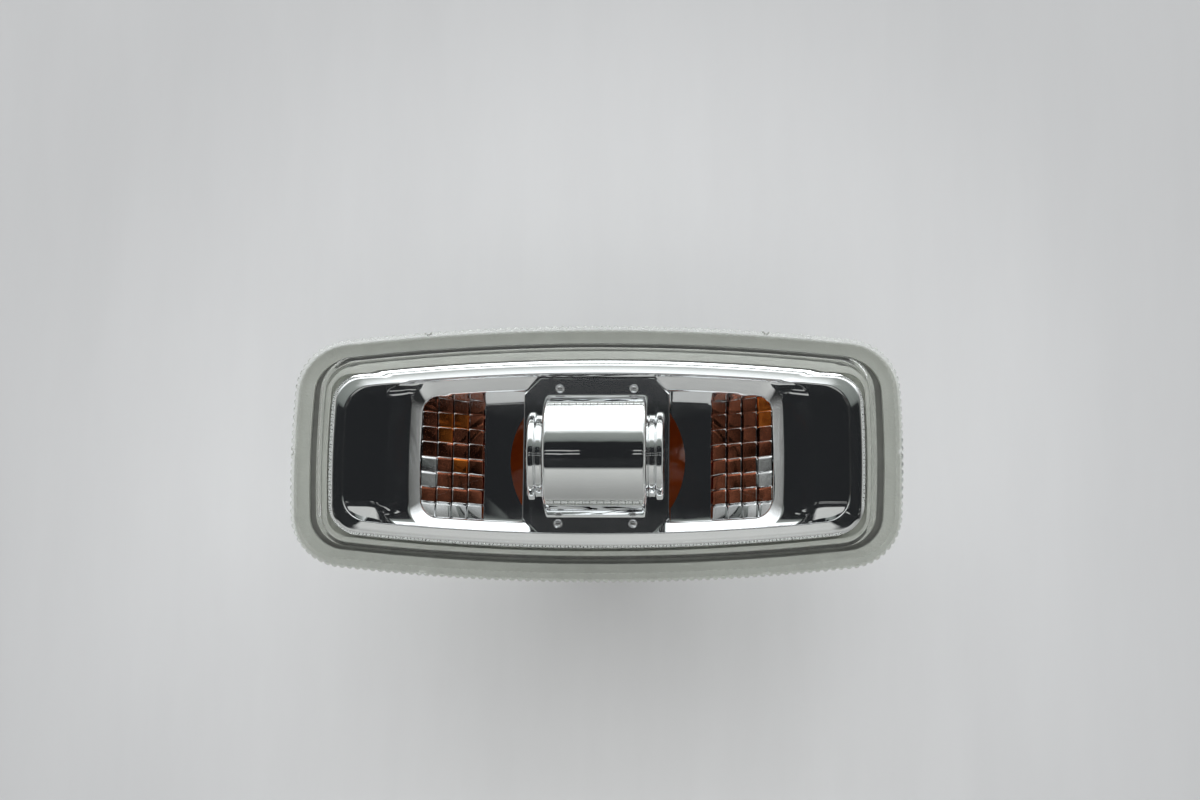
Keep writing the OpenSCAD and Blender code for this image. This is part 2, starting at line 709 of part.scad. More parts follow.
module bulb_holder() {
  outer_x = shroud_x + 2 * shroud_wall;
  outer_y = shroud_y + 2 * shroud_wall;
  color("dimgray") difference() {
    union() {
      translate([0, 0, holder_back]) cylinder(r = plug_r, h = plug_top - holder_back, $fn = 96);
      translate([0, 0, holder_back]) cylinder(r = neck_r - 0.8, h = holder_flange_t, $fn = 96);
      lug_places() translate([0, -2, plug_top - lug_t])
        intersection() {
          cube([plug_r + lug_reach, 4, lug_t]);
          translate([0, 2, 0]) cylinder(r = plug_r + lug_reach, h = lug_t, $fn = 96);
        }
      slab(shroud_end, holder_back - shroud_end + eps) rounded_block(outer_x, outer_y, 1.8);
      for (s = [-1, 1]) translate([s * (neck_r - 3.4) - 1, -1.5, shroud_top])
        cube([2, 3, holder_back - shroud_top + eps]);
      translate([-2, outer_y / 2 - eps, shroud_end + 2]) rotate([90, 0, 90]) linear_extrude(4)
        polygon([[0, 0], [1.2, 1.6], [1.2, 2.2], [0, 2.4]]);
    }
    slab(shroud_end - 1, shroud_len + 1) rounded_block(shroud_x, shroud_y, 1);
    slab(wedge_top - 0.4, through) circle(r = bulb_r + 0.35, $fn = 96);
    translate([-wedge_w / 2 - fit, -wedge_t / 2 - 2 * wire_r - leaf_t - 0.5, partition_z])
      cube([wedge_w + 2 * fit, wedge_t + 4 * wire_r + 2 * leaf_t + 1, wedge_h + 1]);
    for (s = [-1, 1])
      translate([s * contact_x - blade_w / 2 - 0.05, -blade_t / 2 - 0.05, shroud_top - 1])
        cube([blade_w + 0.1, blade_t + 0.1, partition_t + 2]);
    for (s = [-1, 1]) translate([-1.2, s * (shroud_y / 2 + 0.2) - 0.4, shroud_end - 1])
      cube([2.4, 0.8, 4]);
  }
}

module holder_seal() {
  color("black") slab(neck_bottom - seal_t, seal_t) difference() {
    circle(r = neck_r - 1.2, $fn = 96);
    circle(r = plug_r + 0.15, $fn = 96);
  }
}

// Each contact is one stamping: a leaf on the wedge, a jog and a flat blade
module contact(side) {
  leaf_y = wedge_t / 2 + 2 * wire_r + 0.05;
  color("peru") translate([side * contact_x - blade_w / 2, 0, 0]) {
    translate([0, -blade_t / 2, blade_end]) cube([blade_w, blade_t, partition_z + 0.4 - blade_end]);
    rotate([90, 0, 90]) linear_extrude(blade_w) polygon([
      [-side * blade_t / 2, partition_z + eps],
      [side * (leaf_y + leaf_t), partition_z + eps],
      [side * (leaf_y + leaf_t), wedge_top - 0.6],
      [side * leaf_y, wedge_top - 0.6],
      [side * leaf_y, partition_z + 0.4],
      [-side * blade_t / 2, partition_z + 0.4]
    ]);
  }
}

module contact_left() {
  contact(-1);
}

module contact_right() {
  contact(1);
}

module bulb_outside(grow) {
  r = bulb_r - grow;
  dome_z = bulb_tip - bulb_r;
  translate([0, 0, dome_z]) sphere(r = r, $fn = 64);
  translate([0, 0, wedge_top + grow]) cylinder(r = r, h = dome_z - wedge_top - grow, $fn = 64);
}

module lead_path(side, r) {
  translate([side * contact_x, 0, bulb_end - 0.3]) cylinder(r = r, h = filament_z - bulb_end, $fn = 16);
}

module bulb_glass() {
  color("darkorange", 0.6) difference() {
    union() {
      bulb_outside(0);
      translate([-wedge_w / 2, -wedge_t / 2, bulb_end]) cube([wedge_w, wedge_t, wedge_h + 1]);
    }
    bulb_outside(glass_wall);
    for (s = [-1, 1]) lead_path(s, wire_r + 0.05);
  }
}

module bulb_lead(side) {
  color("gray") {
    translate([side * contact_x, 0, bulb_end - 0.3])
      cylinder(r = wire_r, h = filament_z - bulb_end + 0.2, $fn = 16);
    translate([side * contact_x, side * (wedge_t / 2 + wire_r), bulb_end - 0.3])
      cylinder(r = wire_r, h = 5, $fn = 16);
    translate([side * contact_x - wire_r, side > 0 ? 0 : -wedge_t / 2 - wire_r, bulb_end - 0.3 - eps])
      cube([2 * wire_r, wedge_t / 2 + wire_r, 0.25]);
  }
}

module bulb_lead_left() {
  bulb_lead(-1);
}

module bulb_lead_right() {
  bulb_lead(1);
}

// The filament bows up from one lead to the other
module bulb_filament() {
  rise = 1.6;
  span = contact_x;
  arc_r = (span * span + rise * rise) / (2 * rise);
  half_a = asin(span / arc_r);
  color("goldenrod") translate([0, 0, filament_z + rise - arc_r + 0.1]) rotate([90, 0, 0])
    rotate([0, 0, 90 - half_a]) rotate_extrude(angle = 2 * half_a, $fn = 96)
      translate([arc_r, 0]) circle(r = 0.35, $fn = 16);
}

module bulb_bead() {
  color("lightblue") difference() {
    translate([-contact_x - 0.9, 0, filament_z - 4]) rotate([0, 90, 0])
      cylinder(r = 0.8, h = 2 * contact_x + 1.8, $fn = 24);
    for (s = [-1, 1]) lead_path(s, wire_r + 0.03);
  }
}

lens();
lens_seal();
reflector();
bulb_shield();
shield_rivets();
housing();
panel_gasket();
spring_clip();
clip_screw();
vent_filter();
vent_cap();
bulb_holder();
holder_seal();
contact_left();
contact_right();
bulb_glass();
bulb_filament();
bulb_lead_left();
bulb_lead_right();
bulb_bead();
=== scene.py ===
import json
import math
import random

import bmesh
import bpy
from mathutils import Matrix, Vector
from mathutils.kdtree import KDTree


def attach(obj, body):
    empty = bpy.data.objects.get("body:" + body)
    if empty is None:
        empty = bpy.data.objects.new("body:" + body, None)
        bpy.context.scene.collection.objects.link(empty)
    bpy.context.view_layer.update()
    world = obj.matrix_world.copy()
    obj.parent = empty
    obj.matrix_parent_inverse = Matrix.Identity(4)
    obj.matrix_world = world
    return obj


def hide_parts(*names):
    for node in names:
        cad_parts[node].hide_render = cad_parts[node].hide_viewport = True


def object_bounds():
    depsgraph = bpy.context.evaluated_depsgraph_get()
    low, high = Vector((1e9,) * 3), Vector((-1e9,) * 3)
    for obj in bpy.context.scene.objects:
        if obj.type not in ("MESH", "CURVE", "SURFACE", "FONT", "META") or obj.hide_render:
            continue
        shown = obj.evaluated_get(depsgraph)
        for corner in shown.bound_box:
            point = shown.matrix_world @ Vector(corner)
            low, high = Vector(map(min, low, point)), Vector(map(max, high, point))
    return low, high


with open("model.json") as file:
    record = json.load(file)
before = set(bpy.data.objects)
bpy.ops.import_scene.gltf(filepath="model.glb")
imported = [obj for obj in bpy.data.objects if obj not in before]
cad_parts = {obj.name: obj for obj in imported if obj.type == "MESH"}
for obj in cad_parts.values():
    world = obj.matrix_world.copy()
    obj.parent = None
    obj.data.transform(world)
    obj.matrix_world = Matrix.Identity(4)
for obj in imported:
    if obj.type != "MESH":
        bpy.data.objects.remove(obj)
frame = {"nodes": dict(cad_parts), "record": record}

cad_low, cad_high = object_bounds()
scene = bpy.context.scene
scene.view_settings.view_transform = "Standard"
MM = 0.001

# Sizes of the lamp in millimetres, as in the CAD model
HALF_X, HALF_Y, CORNER_R = 49.7, 21.0, 8.7
LONG_BOW, END_BOW = 366.0, 180.0
HOUSING_TOP, FRONT_Z = 3.7, 6.1
UNDERSIDE = HOUSING_TOP + 0.05
BEVEL_W, BEVEL_DROP = 1.2, 0.8
TOOTH_H, TOOTH_PITCH = 0.27, 1.26
CROWN_X, CROWN_Y = 45.5, 18.0
MIRROR_X, MIRROR_Y, MIRROR_TOP, CREST_Z = 43.8, 15.45, 3.4, 4.5
LAND_Z, SLOPE_Z, LEDGE_Z, FLOOR_Z = 4.2, 3.5, 2.2, -2.3
RECESS_X, RECESS_Y, RECESS_FOOT_Y = 28.8, 11.1, 10.3
BOWL_IN_X, BOWL_IN_Y, BOWL_END_X = 30.8, 13.1, 36.2
FILAMENT_Z, BOWL_R, BULB_HOLE_R = -1.3, 14.5, 6.4
BOWL_FOUR_F = 2 * (1.0 + math.sqrt(1.0 + BOWL_R ** 2))
BOWL_VERTEX = FILAMENT_Z - BOWL_FOUR_F / 4
FACET, FACET_COLUMNS, FACET_ROWS, FACET_RISE = 2.5, 4, 8, 0.8
WALL = 1.6
BARREL_R, BARREL_HALF, COLLAR_R, COLLAR_HALF, BARREL_Z = 10.5, 8.4, 7.7, 11.3, -0.2
SHIELD_T, FOOT_X, FOOT_Y, FOOT_CUT = 1.1, 12.0, 13.0, 2.6
DOME_H = 4.44
TONGUE_OUT, TONGUE_IN, TONGUE_H = 2.9, 3.9, 1.0
NOTCH_X, NOTCH_FOOT_R, NOTCH_TOP_R, NOTCH_HALF, NOTCH_SIDES = 27.8, 0.62, 0.74, 0.6, 20
FACET_LEAN, FACET_TWIST, FACET_FILL = (28.0, 33.0), 0.02, 0.995
FACET_CROWN, FACET_EDGE, FACET_TURN, FACET_ROOT = 0.02, 0.06, 0.018, 0.7
# How far the scene's reflector falls away near its lower long side
ROLL_FALL, ROLL_FALL_FROM, ROLL_FALL_FADE = 0.16, 3.0, 5.0
LAND_FALL, LAND_FALL_FROM, LAND_FADE_X, LAND_FADE = 0.46, 8.0, 31.0, 6.5
FLOOR_LEVEL = cad_low.z
FLOOR_HALF = 3.0
PHOTO_WIDTH = 1200

random.seed(7)

# ---------------------------------------------------------------- camera


def add_camera():
    data = bpy.data.cameras.new("camera")
    cam = bpy.data.objects.new("camera", data)
    scene.collection.objects.link(cam)
    scene.camera = cam
    distance, px = 0.42, 0.1626 * MM
    off_right, off_up = 4.5, 51
    tilt, turn, roll = math.radians(12.0), math.radians(3.4), math.radians(0.7)
    back = Vector((math.tan(turn), -math.tan(tilt), 1.0)).normalized()
    centre = Vector((0, 0, FRONT_Z * MM))
    right = Vector((0, 1, 0)).cross(back).normalized()
    up = back.cross(right)
    eye = centre + back * distance
    aim = centre + right * (off_right * px) + up * (off_up * px)
    look = (eye - aim).normalized()
    right = up.cross(look).normalized()
    up = look.cross(right)
    facing = Matrix((right, up, look)).transposed().to_4x4()
    cam.matrix_world = Matrix.Translation(eye) @ facing @ Matrix.Rotation(roll, 4, "Z")
    data.sensor_width = 36.0
    data.lens = data.sensor_width * distance / (PHOTO_WIDTH * px)
    data.clip_start, data.clip_end = 0.01, 20.0


add_camera()

# ---------------------------------------------------------------- materials


def node(tree, kind, **sockets):
    n = tree.nodes.new(kind)
    for key, value in sockets.items():
        n.inputs[key.replace("_", " ")].default_value = value
    return n


def material(name, colour, rough, metal=0.0, tone=0.08, scale=400.0, bump=0.0, bump_scale=1500.0,
             rough_range=0.06, shader=None, stretch=(1, 1, 1)):
    """A Principled material whose colour, roughness and surface come from noise."""
    m = bpy.data.materials.new(name)
    m.use_nodes = True
    t = m.node_tree
    p = t.nodes["Principled BSDF"]
    coords = t.nodes.new("ShaderNodeTexCoord")
    mapping = t.nodes.new("ShaderNodeMapping")
    mapping.inputs["Scale"].default_value = stretch
    t.links.new(coords.outputs["Object"], mapping.inputs["Vector"])
    cloud = node(t, "ShaderNodeTexNoise", Scale=scale, Detail=4.0, Roughness=0.6)
    t.links.new(mapping.outputs["Vector"], cloud.inputs["Vector"])
    ramp = t.nodes.new("ShaderNodeValToRGB")
    ramp.color_ramp.elements[0].position = 0.3
    ramp.color_ramp.elements[1].position = 0.7
    ramp.color_ramp.elements[0].color = [c * (1 - tone) for c in colour] + [1]
    ramp.color_ramp.elements[1].color = [min(1, c * (1 + tone)) for c in colour] + [1]
    t.links.new(cloud.outputs["Fac"], ramp.inputs["Fac"])
    t.links.new(ramp.outputs["Color"], p.inputs["Base Color"])
    spread = t.nodes.new("ShaderNodeMapRange")
    spread.inputs["To Min"].default_value = max(0.0, rough - rough_range)
    spread.inputs["To Max"].default_value = min(1.0, rough + rough_range)
    t.links.new(cloud.outputs["Fac"], spread.inputs["Value"])
    t.links.new(spread.outputs["Result"], p.inputs["Roughness"])
    p.inputs["Metallic"].default_value = metal
    if bump:
        grain = node(t, "ShaderNodeTexNoise", Scale=bump_scale, Detail=3.0)
        t.links.new(mapping.outputs["Vector"], grain.inputs["Vector"])
        b = node(t, "ShaderNodeBump", Strength=bump, Distance=0.0002)
        t.links.new(grain.outputs["Fac"], b.inputs["Height"])
        t.links.new(b.outputs["Normal"], p.inputs["Normal"])
    for key, value in (shader or {}).items():
        p.inputs[key].default_value = value
    return m


# The lens has a lower index than acrylic, so that its own reflections stay as faint as in the photo
MATERIALS = {
    "clear_lens": material("clear_acrylic", (0.965, 0.975, 0.96), 0.008, tone=0.012, scale=60,
                           rough_range=0.006, shader={"Transmission Weight": 1.0, "IOR": 1.2}),
    "sealant": material("sealant", (0.6, 0.61, 0.58), 0.6, bump=0.2, bump_scale=900),
    "bright_mirror": material("metallised_plastic", (0.9, 0.905, 0.915), 0.035, metal=1.0, tone=0.03,
                              scale=90, rough_range=0.015, bump=0.01, bump_scale=60),
    "bright_shield": material("polished_plate", (0.9, 0.91, 0.915), 0.02, metal=1.0, tone=0.02,
                              scale=120, rough_range=0.01, bump=0.0015, bump_scale=40),
    "rivet_metal": material("rivet_metal", (0.82, 0.82, 0.83), 0.16, metal=1.0, bump=0.05),
    "housing_grey": material("housing_plastic", (0.67, 0.685, 0.63), 0.5, tone=0.05, scale=220,
                             bump=0.25, bump_scale=2600),
    "foam_black": material("foam", (0.06, 0.06, 0.065), 0.85, tone=0.25, scale=1500,
                           bump=0.9, bump_scale=1300),
    "spring_steel": material("spring_steel", (0.5, 0.52, 0.54), 0.3, metal=1.0, tone=0.1,
                             stretch=(1, 12, 1), bump=0.08),
    "zinc_screw": material("zinc_plate", (0.66, 0.67, 0.68), 0.32, metal=1.0, tone=0.12, bump=0.1),
    "vent_foam": material("vent_filter", (0.8, 0.79, 0.74), 0.9, tone=0.12, scale=1800, bump=0.8),
    "vent_rubber": material("vent_rubber", (0.05, 0.05, 0.05), 0.6, tone=0.2, bump=0.25),
    "holder_plastic": material("holder_nylon", (0.1, 0.1, 0.105), 0.48, tone=0.14,
                               bump=0.3, bump_scale=2200),
    "seal_rubber": material("silicone_seal", (0.2, 0.09, 0.06), 0.55, tone=0.12, bump=0.15),
    "contact_brass": material("tinned_brass", (0.72, 0.6, 0.36), 0.28, metal=1.0, tone=0.1, bump=0.08),
    # Painted light: the faint emission brightens the amber bulb, which sits in the shield's shade
    "amber_glass": material("amber_glass", (0.75, 0.2, 0.035), 0.08, tone=0.06, scale=150,
                            shader={"Transmission Weight": 0.5, "IOR": 1.5,
                                    "Emission Color": (0.9, 0.2, 0.03, 1),
                                    "Emission Strength": 0.015}),
    "filament_wire": material("tungsten", (0.3, 0.3, 0.31), 0.4, metal=1.0, tone=0.1),
    "lead_wire": material("lead_wire", (0.55, 0.5, 0.44), 0.35, metal=1.0, tone=0.1),
    "bead_glass": material("bead_glass", (0.75, 0.82, 0.85), 0.08,
                           shader={"Transmission Weight": 0.8, "IOR": 1.5}),
}

# Painted reflection: two amber mirror colours that paint the amber bulb's reflection into the chrome
# facets, a dark one and a bright one
PAINTED_BULB_REFLECTION_DARK = material("painted_bulb_reflection_dark", (0.3, 0.1, 0.055), 0.05, metal=1.0, tone=0.6, scale=260,
                      rough_range=0.02, bump=0.02, bump_scale=200)
PAINTED_BULB_REFLECTION_BRIGHT = material("painted_bulb_reflection_bright", (0.95, 0.22, 0.04), 0.06, metal=1.0, tone=0.4, scale=420,
                       rough_range=0.03, bump=0.03, bump_scale=300)
KNURL = material("frosted_rim", (0.83, 0.85, 0.815), 0.24, tone=0.04, scale=400, rough_range=0.05,
                 shader={"Transmission Weight": 0.86, "IOR": 1.3})


def pass_lamp_light(m, share):
    """Lets the lamps light what lies behind clear glass."""
    t = m.node_tree
    path = t.nodes.new("ShaderNodeLightPath")
    fade = t.nodes.new("ShaderNodeMath")
    fade.operation = "MULTIPLY_ADD"
    t.links.new(path.outputs["Is Shadow Ray"], fade.inputs[0])
    fade.inputs[1].default_value = -share
    fade.inputs[2].default_value = 1.0
    t.links.new(fade.outputs["Value"], t.nodes["Principled BSDF"].inputs["Alpha"])


pass_lamp_light(MATERIALS["clear_lens"], 0.95)
pass_lamp_light(KNURL, 0.8)
pass_lamp_light(MATERIALS["amber_glass"], 0.5)


def dress(obj, slot):
    obj.data.materials.clear()
    obj.data.materials.append(MATERIALS[slot])


SLOTS = {s["node"]: s["material_slot"] for s in frame["record"]["subparts"]}
for name, obj in frame["nodes"].items():
    dress(obj, SLOTS[name])

# ---------------------------------------------------------------- outlines


def on_circle(c, r, a):
    return (c[0] + r * math.cos(a), c[1] + r * math.sin(a))


def crossing(p, rp, q, rq):
    dx, dy = q[0] - p[0], q[1] - p[1]
    gap = math.hypot(dx, dy)
    along = (rp * rp - rq * rq + gap * gap) / (2 * gap)
    side = math.sqrt(rp * rp - along * along)
    ux, uy = dx / gap, dy / gap
    a = (p[0] + along * ux - side * uy, p[1] + along * uy + side * ux)
    b = (p[0] + along * ux + side * uy, p[1] + along * uy - side * ux)
    return a if sum(a) > sum(b) else b


def quarter_arcs(hx, hy, rc, bow=1.0):
    end_r, long_r = END_BOW * bow, LONG_BOW * bow
    side, top = (hx - end_r, 0.0), (0.0, hy - long_r)
    c = crossing(side, end_r - rc, top, long_r - rc)
    a = math.atan2(c[1] - side[1], c[0] - side[0])
    b = math.atan2(c[1] - top[1], c[0] - top[0])
    return [(side, end_r, 0.0, a), (c, rc, a, b), (top, long_r, b, math.pi / 2)]


def outline(hx, hy, rc, bow, steps):
    """A closed loop of four like quarters: a bowed end, a corner arc and a bowed long side."""
    q = []
    for (c, r, a0, a1), count in zip(quarter_arcs(hx, hy, rc, bow), steps):
        q += [on_circle(c, r, a0 + (a1 - a0) * i / count) for i in range(count)]
    q.append((0.0, hy))
    return (q + [(-x, y) for x, y in q[-2::-1]] + [(-x, -y) for x, y in q[1:]]
            + [(x, -y) for x, y in q[-2:0:-1]])


TOOTH_SHAPE = [0.0, 0.06, 0.85, 1.0, 1.0, 0.85, 0.06]
TOOTH_SAMPLES = len(TOOTH_SHAPE)


def tooth_steps():
    counts = []
    for c, r, a0, a1 in quarter_arcs(HALF_X, HALF_Y, CORNER_R):
        counts.append(TOOTH_SAMPLES * max(1, round(r * abs(a1 - a0) / TOOTH_PITCH)))
    return tuple(counts)


LENS_STEPS = tooth_steps()


def toothed(loop, height):
    """Pushes a loop of the lens outwards by the tooth profile, the same on all four quarters."""
    n = len(loop)
    quarter_n = sum(LENS_STEPS)
    out = []
    for i, (x, y) in enumerate(loop):
        px, py = loop[i - 1]
        nx, ny = loop[(i + 1) % n]
        tx, ty = nx - px, ny - py
        length = math.hypot(tx, ty)
        k = i % (2 * quarter_n)
        k = k if k <= quarter_n else 2 * quarter_n - k
        h = height * TOOTH_SHAPE[k % TOOTH_SAMPLES]
        out.append((x + h * ty / length, y - h * tx / length))
    return out


def inner_r(inset):
    return max(CORNER_R - inset, 2.0)


def rounded_corner(a, b, c, radius, steps):
    """Points of a curve that cuts the corner b between a and c, or b itself where the radius is 0."""
    la, lc = (a - b).length, (c - b).length
    r = min(radius, la * 0.45, lc * 0.45)
    if r <= 0:
        return [tuple(b)]
    p, q = b + (a - b) * (r / la), b + (c - b) * (r / lc)
    curve = []
    for k in range(steps + 1):
        t = k / steps
        curve.append(tuple(p * (1 - t) ** 2 + b * (2 * t * (1 - t)) + q * t * t))
    return curve


def soften(rings, radii, steps):
    """Rounds the corners of a profile of rings. Each ring is (hx, hy, corner, z, bow)."""
    out = [rings[0]]
    for i in range(1, len(rings) - 1):
        a, b, c = (Vector(rings[i + k]) for k in (-1, 0, 1))
        out += rounded_corner(a, b, c, radii.get(i, 0.0), steps)
    out.append(rings[-1])
    return out


# ---------------------------------------------------------------- mesh tools


def new_object(name, verts, faces, smooth_angle=32.0):
    mesh = bpy.data.meshes.new(name)
    mesh.from_pydata([(x * MM, y * MM, z * MM) for x, y, z in verts], [], faces)
    mesh.validate()
    obj = bpy.data.objects.new(name, mesh)
    scene.collection.objects.link(obj)
    finish_mesh(obj, smooth_angle)
    return obj


def finish_mesh(obj, smooth_angle):
    mesh = obj.data
    bm = bmesh.new()
    bm.from_mesh(mesh)
    bmesh.ops.recalc_face_normals(bm, faces=bm.faces)
    bm.to_mesh(mesh)
    bm.free()
    for poly in mesh.polygons:
        poly.use_smooth = True
    mesh.set_sharp_from_angle(angle=math.radians(smooth_angle))


def bridge(loops):
    """Vertices and faces of a closed body through loops of equal count."""
    n = len(loops[0])
    verts = [p for loop in loops for p in loop]
    faces = []
    for k in range(len(loops) - 1):
        a, b = k * n, (k + 1) * n
        faces += [(a + i, a + (i + 1) % n, b + (i + 1) % n, b + i) for i in range(n)]
    faces.append(tuple(range(n))[::-1])
    faces.append(tuple(range((len(loops) - 1) * n, len(loops) * n)))
    return verts, faces


def loft(name, rings, steps):
    loops = []
    for hx, hy, rc, z, bow in rings:
        loops.append([(x, y, z) for x, y in outline(hx, hy, rc, bow, steps)])
    return new_object(name, *bridge(loops))


def lathe(name, profile, count, axis="Z", centre=(0, 0, 0)):
    """A closed solid of revolution. Its profile of (radius, along) starts and ends on the axis."""
    verts, faces, rows = [], [], []
    for r, a in profile:
        if r < 1e-6:
            rows.append([len(verts)])
            verts.append((0.0, 0.0, a))
        else:
            rows.append(list(range(len(verts), len(verts) + count)))
            angles = [2 * math.pi * i / count for i in range(count)]
            verts += [(r * math.cos(turn), r * math.sin(turn), a) for turn in angles]
    for p, q in zip(rows, rows[1:]):
        for i in range(count):
            j = (i + 1) % count
            face = [p[i % len(p)], p[j % len(p)], q[j % len(q)], q[i % len(q)]]
            face = list(dict.fromkeys(face))
            if len(face) > 2:
                faces.append(face)
    if axis == "X":
        verts = [(z, y, -x) for x, y, z in verts]
    cx, cy, cz = centre
    return new_object(name, [(x + cx, y + cy, z + cz) for x, y, z in verts], faces)


def box_object(name, low, high):
    xs, ys, zs = zip(low, high)
    verts = [(x, y, z) for z in zs for y in ys for x in xs]
    faces = [(0, 2, 3, 1), (4, 5, 7, 6), (0, 1, 5, 4), (2, 6, 7, 3), (0, 4, 6, 2), (1, 3, 7, 5)]
    return new_object(name, verts, faces)


def combine(target, tool, operation):
    """One boolean step; the tool is used up."""
    mod = target.modifiers.new("cut", "BOOLEAN")
    mod.object = tool
    mod.operation = operation
    mod.solver = "EXACT"
    graph = bpy.context.evaluated_depsgraph_get()
    mesh = bpy.data.meshes.new_from_object(target.evaluated_get(graph))
    target.modifiers.clear()
    old = target.data
    target.data = mesh
    bpy.data.meshes.remove(old)
    drop(tool)


def drop(obj):
    mesh = obj.data
    bpy.data.objects.remove(obj)
    bpy.data.meshes.remove(mesh)


def round_profile(points, radius, steps):
    """Rounds the corners of an open profile of (radius, along) points."""
    out = [points[0]]
    for i in range(1, len(points) - 1):
        a, b, c = (Vector(points[i + k]) for k in (-1, 0, 1))
        out += rounded_corner(a, b, c, radius, steps)
    out.append(points[-1])
    return out


def place(obj, slot, *nodes):
    dress(obj, slot)
    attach(obj, "root")
    if nodes:
        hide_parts(*nodes)


# ---------------------------------------------------------------- lens


def wall_ring(inset, z):
    return (CROWN_X - inset, CROWN_Y - inset, inner_r(3.0 + inset), z, 1.0)


def dome_rings(inset, z0, height, count):
    hx, hy = CROWN_X - 1.15 - inset * 0.75, CROWN_Y - 1.15 - inset * 0.75
    rc = inner_r((HALF_X - hx + HALF_Y - hy) / 2)
    rings = []
    for i in range(count + 1):
        s = 1 - 0.985 * i / count
        rings.append((hx * s, hy * s, rc * s, z0 + height * (1 - s * s), s))
    return rings


def flange_ring(inset, z):
    return (HALF_X - inset, HALF_Y - inset, inner_r(inset), z, 1.0)


def frost_rim(lens):
    """The toothed edge and its bevel are finely frosted."""
    lens.data.materials.append(KNURL)
    edge = outline(HALF_X, HALF_Y, CORNER_R, 1.0, LENS_STEPS)
    tree = KDTree(len(edge))
    for i, (x, y) in enumerate(edge):
        tree.insert((x, y, 0), i)
    tree.balance()
    for poly in lens.data.polygons:
        x, y, z = poly.center / MM
        if poly.normal.z > -0.9 and tree.find((x, y, 0))[2] < BEVEL_W * 0.8:
            poly.material_index = 1


def make_lens():
    """One closed body: from the inside of the crown, round the tongue and teeth, to its outside."""
    bevel_z = FRONT_Z - BEVEL_DROP
    outer = [
        flange_ring(BEVEL_W + 0.25, FRONT_Z),
        wall_ring(-0.9, FRONT_Z),
        wall_ring(0.0, FRONT_Z),
        wall_ring(0.42, FRONT_Z + 1.25),
    ] + dome_rings(0.0, FRONT_Z + 2.0, DOME_H, 12)
    outer = soften(outer, {2: 0.45, 3: 0.9, 4: 1.0}, 5)
    inner = [
        flange_ring(3.95, UNDERSIDE),
        wall_ring(1.0, UNDERSIDE),
        wall_ring(1.0, FRONT_Z),
        wall_ring(1.3, FRONT_Z + 0.12),
    ] + dome_rings(1.0, FRONT_Z + 0.3, DOME_H, 8)
    inner = soften(inner, {1: 0.2, 2: 0.4, 3: 0.5, 4: 0.6}, 3)
    loops = []

    def add(ring, teeth=0.0):
        loop = outline(ring[0], ring[1], ring[2], ring[4], LENS_STEPS)
        if teeth:
            loop = toothed(loop, teeth)
        loops.append([(x, y, ring[3]) for x, y in loop])

    for ring in reversed(inner):
        add(ring)
    add(flange_ring(TONGUE_IN, HOUSING_TOP - TONGUE_H))
    add(flange_ring(TONGUE_OUT, HOUSING_TOP - TONGUE_H))
    add(flange_ring(TONGUE_OUT, UNDERSIDE))
    add(flange_ring(0.15, UNDERSIDE), TOOTH_H)
    add(flange_ring(0.0, UNDERSIDE + 0.15), TOOTH_H)
    add(flange_ring(0.0, bevel_z - 0.12), TOOTH_H)
    add(flange_ring(0.06, bevel_z + 0.03), TOOTH_H)
    add(flange_ring(0.2, bevel_z + 0.13), TOOTH_H)
    add(flange_ring(BEVEL_W * 0.6, bevel_z + BEVEL_DROP * 0.6), TOOTH_H * 0.9)
    add(flange_ring(BEVEL_W * 0.85, FRONT_Z - 0.1), TOOTH_H * 0.5)
    add(flange_ring(BEVEL_W, FRONT_Z - 0.02))
    for ring in outer:
        add(ring)
    lens = new_object("lens_moulding", *bridge(loops), smooth_angle=28.0)
    cutters = []
    for sx in (-1, 1):
        for sy in (-1, 1):
            y = HALF_Y - NOTCH_X ** 2 / (2 * LONG_BOW)
            cutters.append((sx * NOTCH_X, sy * (y + 0.1)))
        cutters.append((sx * (HALF_X + 0.1), 0.0))
    for i, (x, y) in enumerate(cutters):
        cone = [(0, -NOTCH_HALF), (NOTCH_FOOT_R, -NOTCH_HALF),
                (NOTCH_TOP_R, NOTCH_HALF), (0, NOTCH_HALF)]
        pin = lathe("notch%d" % i, cone, NOTCH_SIDES, centre=(x, y, FRONT_Z - 0.25))
        combine(lens, pin, "DIFFERENCE")
    finish_mesh(lens, 28.0)
    place(lens, "clear_lens", "lens")
    frost_rim(lens)


# ---------------------------------------------------------------- reflector


def bowl_profile(grow):
    steps = 20
    points = []
    for i in range(steps + 1):
        r = BULB_HOLE_R + (BOWL_R - BULB_HOLE_R) * i / steps
        points.append((r + grow, BOWL_VERTEX + r * r / BOWL_FOUR_F - grow * 0.6))
    return points


def facet_painted_reflection(side, i, j):
    """Which painted reflection a facet gets: 0 the plain mirror, 1 a dark painted reflection of the
    amber bulb, 2 a bright painted reflection of it.
    """
    if j == 0 or (i == 0 and j in (2, 3)):
        return 0
    bright_reflection_cells = {(1, 5), (1, 6), (2, 3), (2, 6)} if side < 0 else {(0, 7), (0, 6)}
    return 2 if (i, j) in bright_reflection_cells else 1


